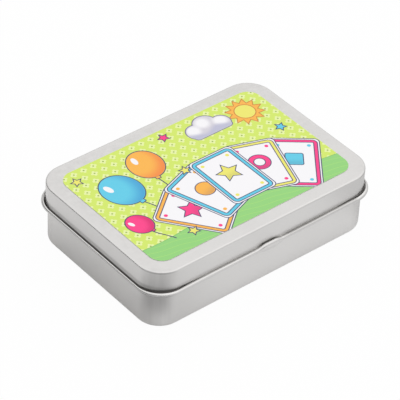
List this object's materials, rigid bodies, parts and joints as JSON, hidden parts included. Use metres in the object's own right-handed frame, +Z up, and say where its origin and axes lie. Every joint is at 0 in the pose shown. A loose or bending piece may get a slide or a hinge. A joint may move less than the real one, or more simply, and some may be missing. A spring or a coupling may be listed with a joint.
{
  "type": "hinged card game tin",
  "caption": "Rectangular drawn tinplate tin with rounded corners, a hinged lid with curled hem and thumb tab, and a deck of cards inside.",
  "frame": {"origin": "middle of the tin's bounding box, on the table it stands on", "axes": "+Z up, X along the long side with the label read from left to right along +X, thumb tab at the front (-Y), hinge at the back (+Y)"},
  "size_m": [0.1128, 0.0789, 0.0284],
  "materials": {
    "tinplate": "satin bare tinplate with faint rolling grain",
    "wire_steel": "bright drawn wire",
    "printed_label": "printed paper label, satin film",
    "card_stock": "coated playing card"
  },
  "bodies": {
    "tin": {"tin_body": "tinplate", "card_01": "card_stock", "card_02": "card_stock", "card_03": "card_stock", "card_04": "card_stock", "card_05": "card_stock", "card_06": "card_stock", "card_07": "card_stock", "card_08": "card_stock", "card_09": "card_stock", "card_10": "card_stock", "card_11": "card_stock", "card_12": "card_stock", "card_13": "card_stock", "card_14": "card_stock", "card_15": "card_stock", "card_16": "card_stock", "card_17": "card_stock", "card_18": "card_stock", "card_19": "card_stock", "card_20": "card_stock", "card_21": "card_stock", "card_22": "card_stock", "card_23": "card_stock", "card_24": "card_stock", "card_25": "card_stock", "card_26": "card_stock", "card_27": "card_stock", "card_28": "card_stock", "card_29": "card_stock", "card_30": "card_stock", "card_31": "card_stock", "card_32": "card_stock", "card_33": "card_stock", "card_34": "card_stock", "card_35": "card_stock", "card_36": "card_stock", "card_37": "card_stock", "card_38": "card_stock", "card_39": "card_stock", "card_40": "card_stock", "card_41": "card_stock", "card_42": "card_stock", "card_43": "card_stock", "card_44": "card_stock", "card_45": "card_stock", "card_46": "card_stock", "card_47": "card_stock", "card_48": "card_stock", "card_49": "card_stock", "card_50": "card_stock", "card_51": "card_stock", "card_52": "card_stock", "card_53": "card_stock", "card_54": "card_stock"},
    "lid": {"lid": "tinplate", "hinge_pin_left": "wire_steel", "hinge_pin_right": "wire_steel", "lid_label": "printed_label"}
  },
  "joints": [
    {"name": "lid_hinge", "type": "hinge", "parent": "tin", "child": "lid", "pos_m": [0, 0.03835, 0.0182], "axis": [-1, 0, 0], "range_deg": [0, 110]}
  ]
}
